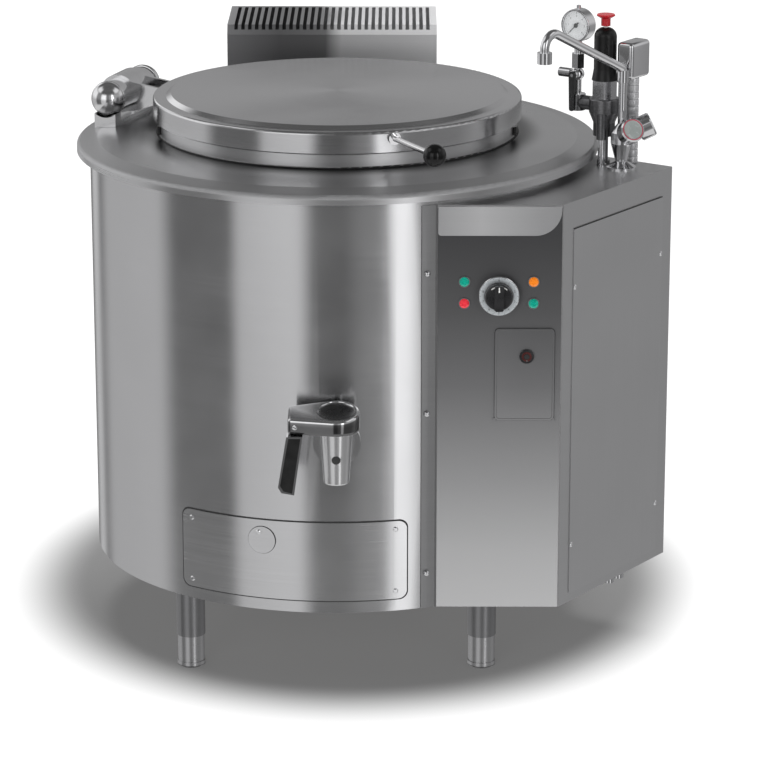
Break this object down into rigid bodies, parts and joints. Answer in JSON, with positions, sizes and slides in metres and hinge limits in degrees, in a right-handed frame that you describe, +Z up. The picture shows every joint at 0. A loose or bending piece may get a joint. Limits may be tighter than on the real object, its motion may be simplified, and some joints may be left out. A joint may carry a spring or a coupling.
{
  "type": "gas boiling kettle",
  "caption": "Round gas-fired boiling kettle on feet, with a counterbalanced lid, a front drain tap, a rear flue and a side control cabinet carrying a water mixer and the jacket's safety valve.",
  "frame": {"origin": "on the floor, under the middle of the kettle's bounding box", "axes": "+Z up, the front with the tap and the dial towards -Y, the control cabinet towards +X"},
  "size_m": [1.0915, 1.249, 1.174],
  "materials": {
    "stainless_sheet": "brushed",
    "polished_metal": "polished",
    "black_plastic": "satin",
    "mineral_blanket": "matt",
    "silicone_seal": "matt",
    "burner_iron": "matt",
    "valve_brass": "satin",
    "green_lens": "gloss",
    "red_lens": "gloss",
    "amber_lens": "gloss",
    "red_plastic": "gloss",
    "gauge_glass": "clear"
  },
  "bodies": {
    "kettle": {"access_panel": "stainless_sheet", "base_plate": "stainless_sheet", "blow_off_pipe": "polished_metal", "burner": "burner_iron", "cabinet_fascia": "stainless_sheet", "cabinet_shell": "stainless_sheet", "dial_bezel": "polished_metal", "flue_duct": "stainless_sheet", "flue_grille": "stainless_sheet", "front_cover": "stainless_sheet", "gas_pipe": "stainless_sheet", "gas_valve": "valve_brass", "gauge_case": "polished_metal", "gauge_cock": "polished_metal", "gauge_glass": "gauge_glass", "heat_shroud": "stainless_sheet", "hinge_bracket": "stainless_sheet", "hinge_end_caps": "polished_metal", "hinge_shaft": "stainless_sheet", "hinge_spring": "stainless_sheet", "inner_vessel": "stainless_sheet", "insulation": "mineral_blanket", "lamp_amber": "amber_lens", "lamp_red": "red_lens", "lamps_green": "green_lens", "leg_tubes": "stainless_sheet", "mixer_body": "polished_metal", "outer_casing": "stainless_sheet", "panel_screws": "stainless_sheet", "pressure_switch": "stainless_sheet", "rim_top": "stainless_sheet", "safety_valve_body": "polished_metal", "safety_valve_cap": "black_plastic", "steam_jacket": "stainless_sheet", "tap_body": "polished_metal"},
    "lid": {"lid_shell": "stainless_sheet", "lid_liner": "stainless_sheet", "lid_seal": "silicone_seal", "lid_handle_rod": "polished_metal", "lid_handle_ball": "black_plastic", "lid_arm": "polished_metal", "hinge_barrel": "polished_metal"},
    "tap_handle": {"tap_plug": "polished_metal", "tap_lever": "polished_metal", "tap_grip_frame": "polished_metal", "tap_grip_insert": "black_plastic"},
    "sight_flap": {"sight_disc": "stainless_sheet"},
    "dial": {"dial_knob": "black_plastic"},
    "door": {"small_door": "stainless_sheet"},
    "latch": {"door_latch": "black_plastic"},
    "swivel_spout": {"spout": "polished_metal"},
    "hot_knob": {"hot_water_knob": "polished_metal"},
    "cold_knob": {"cold_water_knob": "polished_metal"},
    "relief_knob": {"safety_valve_knob": "red_plastic"},
    "gauge_hand": {"gauge_needle": "black_plastic"},
    "cock_handle": {"cock_lever": "black_plastic"},
    "foot_front_left": {"foot_front_left": "stainless_sheet"},
    "foot_front_right": {"foot_front_right": "stainless_sheet"},
    "foot_rear_left": {"foot_rear_left": "stainless_sheet"},
    "foot_rear_right": {"foot_rear_right": "stainless_sheet"}
  },
  "joints": [
    {"name": "lid_hinge", "type": "hinge", "parent": "kettle", "child": "lid", "pos_m": [-0.46461, 0.0631, 0.977], "axis": [-0.319, -0.9478, 0], "range_deg": [0, 90], "stiffness_Nm_per_rad": 26, "springref_deg": 90},
    {"name": "tap_turn", "type": "hinge", "parent": "kettle", "child": "tap_handle", "pos_m": [-0.05965, -0.5835, 0.47], "axis": [0, 0, 1], "range_deg": [0, 90]},
    {"name": "sight_flap_swing", "type": "hinge", "parent": "kettle", "child": "sight_flap", "pos_m": [-0.19966, -0.50898, 0.297], "axis": [-0.2823, -0.9593, 0], "range_deg": [0, 150]},
    {"name": "dial_turn", "type": "hinge", "parent": "kettle", "child": "dial", "pos_m": [0.22335, -0.4935, 0.73], "axis": [0, 1, 0], "range_deg": [0, 270]},
    {"name": "door_hinge", "type": "hinge", "parent": "kettle", "child": "door", "pos_m": [0.26985, -0.4953, 0.5015], "axis": [1, 0, 0], "range_deg": [0, 90]},
    {"name": "latch_turn", "type": "hinge", "parent": "door", "child": "latch", "pos_m": [0.27335, -0.4968, 0.618], "axis": [0, 1, 0], "range_deg": [0, 90]},
    {"name": "spout_swivel", "type": "hinge", "parent": "kettle", "child": "swivel_spout", "pos_m": [0.45135, -0.2055, 1.056], "axis": [0, 0, 1], "range_deg": [-62, 90]},
    {"name": "hot_water_turn", "type": "hinge", "parent": "kettle", "child": "hot_knob", "pos_m": [0.45135, -0.2055, 0.946], "axis": [0.2786, -0.8624, 0.4226], "range_deg": [0, 360]},
    {"name": "cold_water_turn", "type": "hinge", "parent": "kettle", "child": "cold_knob", "pos_m": [0.45135, -0.2055, 0.946], "axis": [0.9058, 0.03, 0.4226], "range_deg": [0, 360]},
    {"name": "relief_pull", "type": "slide", "parent": "kettle", "child": "relief_knob", "axis": [0, 0, 1], "range_m": [0, 0.005], "stiffness_N_per_m": 1000, "springref_m": -0.005},
    {"name": "gauge_hand_sweep", "type": "hinge", "parent": "kettle", "child": "gauge_hand", "pos_m": [0.3739, -0.13115, 1.138], "axis": [0.575, 0.8181, 0], "range_deg": [0, 270], "stiffness_Nm_per_rad": 0.0005, "springref_deg": -28.65},
    {"name": "gauge_cock_turn", "type": "hinge", "parent": "kettle", "child": "cock_handle", "pos_m": [0.3739, -0.13115, 1.048], "axis": [0.575, 0.8181, 0], "range_deg": [0, 90]},
    {"name": "foot_front_left_screw", "type": "slide", "parent": "kettle", "child": "foot_front_left", "axis": [0, 0, -1], "range_m": [0, 0.03]},
    {"name": "foot_front_right_screw", "type": "slide", "parent": "kettle", "child": "foot_front_right", "axis": [0, 0, -1], "range_m": [0, 0.03]},
    {"name": "foot_rear_left_screw", "type": "slide", "parent": "kettle", "child": "foot_rear_left", "axis": [0, 0, -1], "range_m": [0, 0.03]},
    {"name": "foot_rear_right_screw", "type": "slide", "parent": "kettle", "child": "foot_rear_right", "axis": [0, 0, -1], "range_m": [0, 0.03]}
  ]
}
